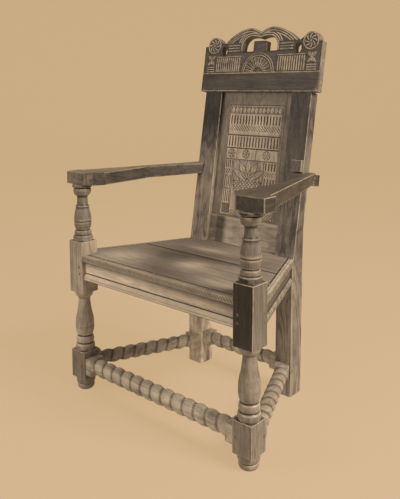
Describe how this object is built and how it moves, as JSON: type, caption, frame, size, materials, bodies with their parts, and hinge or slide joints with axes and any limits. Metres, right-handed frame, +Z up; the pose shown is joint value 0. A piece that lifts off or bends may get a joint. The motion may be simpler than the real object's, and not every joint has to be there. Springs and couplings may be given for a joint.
{
  "type": "wainscot armchair",
  "caption": "Joined oak armchair with a carved panelled back, pierced crest, plank seat, turned front posts and rope-twist stretchers, held by mortises, tenons and pegs.",
  "frame": {"origin": "on the floor, in the middle of the chair's overall width and depth", "axes": "+X towards the sitter's left, +Y to the back, +Z up; the front faces -Y"},
  "size_m": [0.738, 0.5348, 1.1232],
  "materials": {
    "frame_oak": "aged, waxed, dark",
    "stretcher_oak": "turned, worn crests",
    "seat_oak": "worn satin plank",
    "arm_oak": "hand-polished, worn edges",
    "carved_oak": "carved, dark ground",
    "peg_oak": "end grain, dark"
  },
  "bodies": {
    "root": {"front_post_left": "frame_oak", "front_post_right": "frame_oak", "rear_stile_left": "frame_oak", "rear_stile_right": "frame_oak", "front_seat_rail": "frame_oak", "rear_seat_rail": "frame_oak", "side_seat_rail_left": "frame_oak", "side_seat_rail_right": "frame_oak", "lower_back_rail": "frame_oak", "back_batten": "frame_oak", "arm_cleat_right": "frame_oak", "front_stretcher": "stretcher_oak", "rear_stretcher": "stretcher_oak", "side_stretcher_left": "stretcher_oak", "side_stretcher_right": "stretcher_oak", "seat_board_front": "seat_oak", "seat_board_rear": "seat_oak", "arm_left": "arm_oak", "arm_right": "arm_oak", "crest_rail": "carved_oak", "back_panel": "carved_oak", "seat_rail_pegs": "peg_oak", "stretcher_pegs": "peg_oak", "seat_board_pegs": "peg_oak", "back_rail_pegs": "peg_oak", "crest_pegs": "peg_oak", "arm_pegs": "peg_oak", "batten_pegs": "peg_oak", "cleat_pegs": "peg_oak"}
  },
  "joints": []
}
